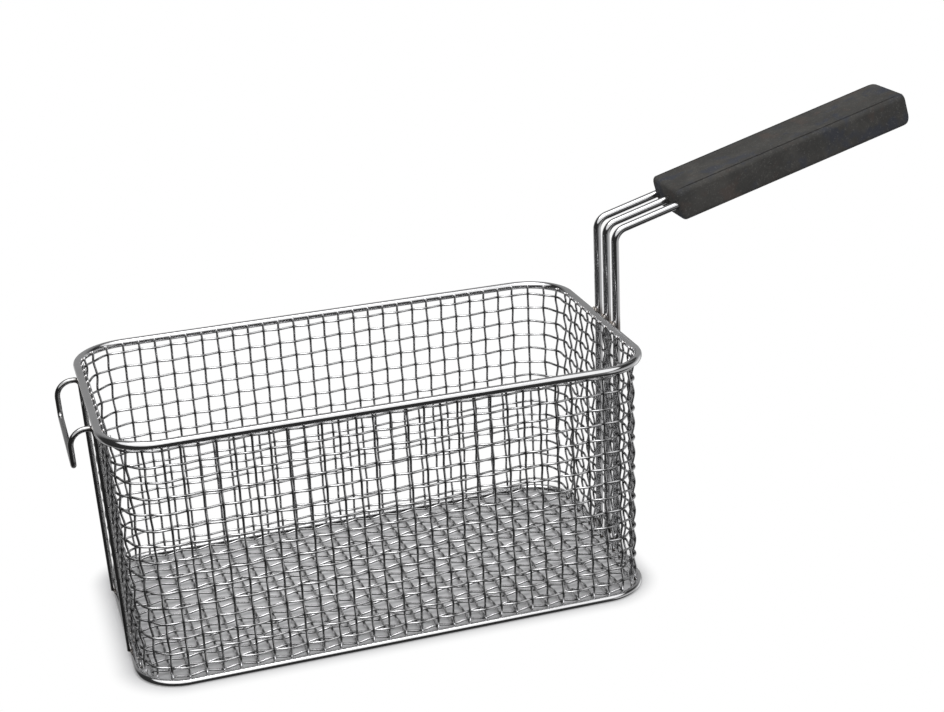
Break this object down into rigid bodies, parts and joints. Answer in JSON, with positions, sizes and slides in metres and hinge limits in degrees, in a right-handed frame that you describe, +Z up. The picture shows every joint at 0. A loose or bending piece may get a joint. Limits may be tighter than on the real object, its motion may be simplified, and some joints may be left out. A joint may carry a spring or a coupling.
{
  "type": "deep fryer basket",
  "caption": "Rectangular wire mesh frying basket with round corners, a bent rod handle with a flat plastic grip at one end and a rest hook at the other.",
  "frame": {"origin": "on the table under the middle of the rim; the basket stands on its base ring at z = 0", "axes": "+X points along the basket to the handle, -X to the rest hook, +Y across the basket, +Z up"},
  "size_m": [0.4922, 0.1606, 0.2515],
  "materials": {
    "frame_wire": "bright plated round wire",
    "mesh_wire": "bright plated thin round wire",
    "grip": "fine satin moulded plastic"
  },
  "bodies": {
    "root": {"rim_ring": "frame_wire", "base_ring": "frame_wire", "handle_rod_front": "frame_wire", "handle_rod_middle": "frame_wire", "handle_rod_back": "frame_wire", "hook_wire": "frame_wire", "front_uprights": "mesh_wire", "back_uprights": "mesh_wire", "hook_end_uprights": "mesh_wire", "handle_end_uprights": "mesh_wire", "hook_corner_uprights": "mesh_wire", "handle_corner_uprights": "mesh_wire", "base_cross_wires": "mesh_wire", "base_long_wires": "mesh_wire", "hoop_01": "mesh_wire", "hoop_02": "mesh_wire", "hoop_03": "mesh_wire", "hoop_04": "mesh_wire", "hoop_05": "mesh_wire", "hoop_06": "mesh_wire", "hoop_07": "mesh_wire", "hoop_08": "mesh_wire", "hoop_09": "mesh_wire", "hoop_10": "mesh_wire", "hoop_11": "mesh_wire", "hoop_12": "mesh_wire", "hoop_13": "mesh_wire", "hoop_14": "mesh_wire", "hoop_15": "mesh_wire", "grip": "grip"}
  },
  "joints": []
}
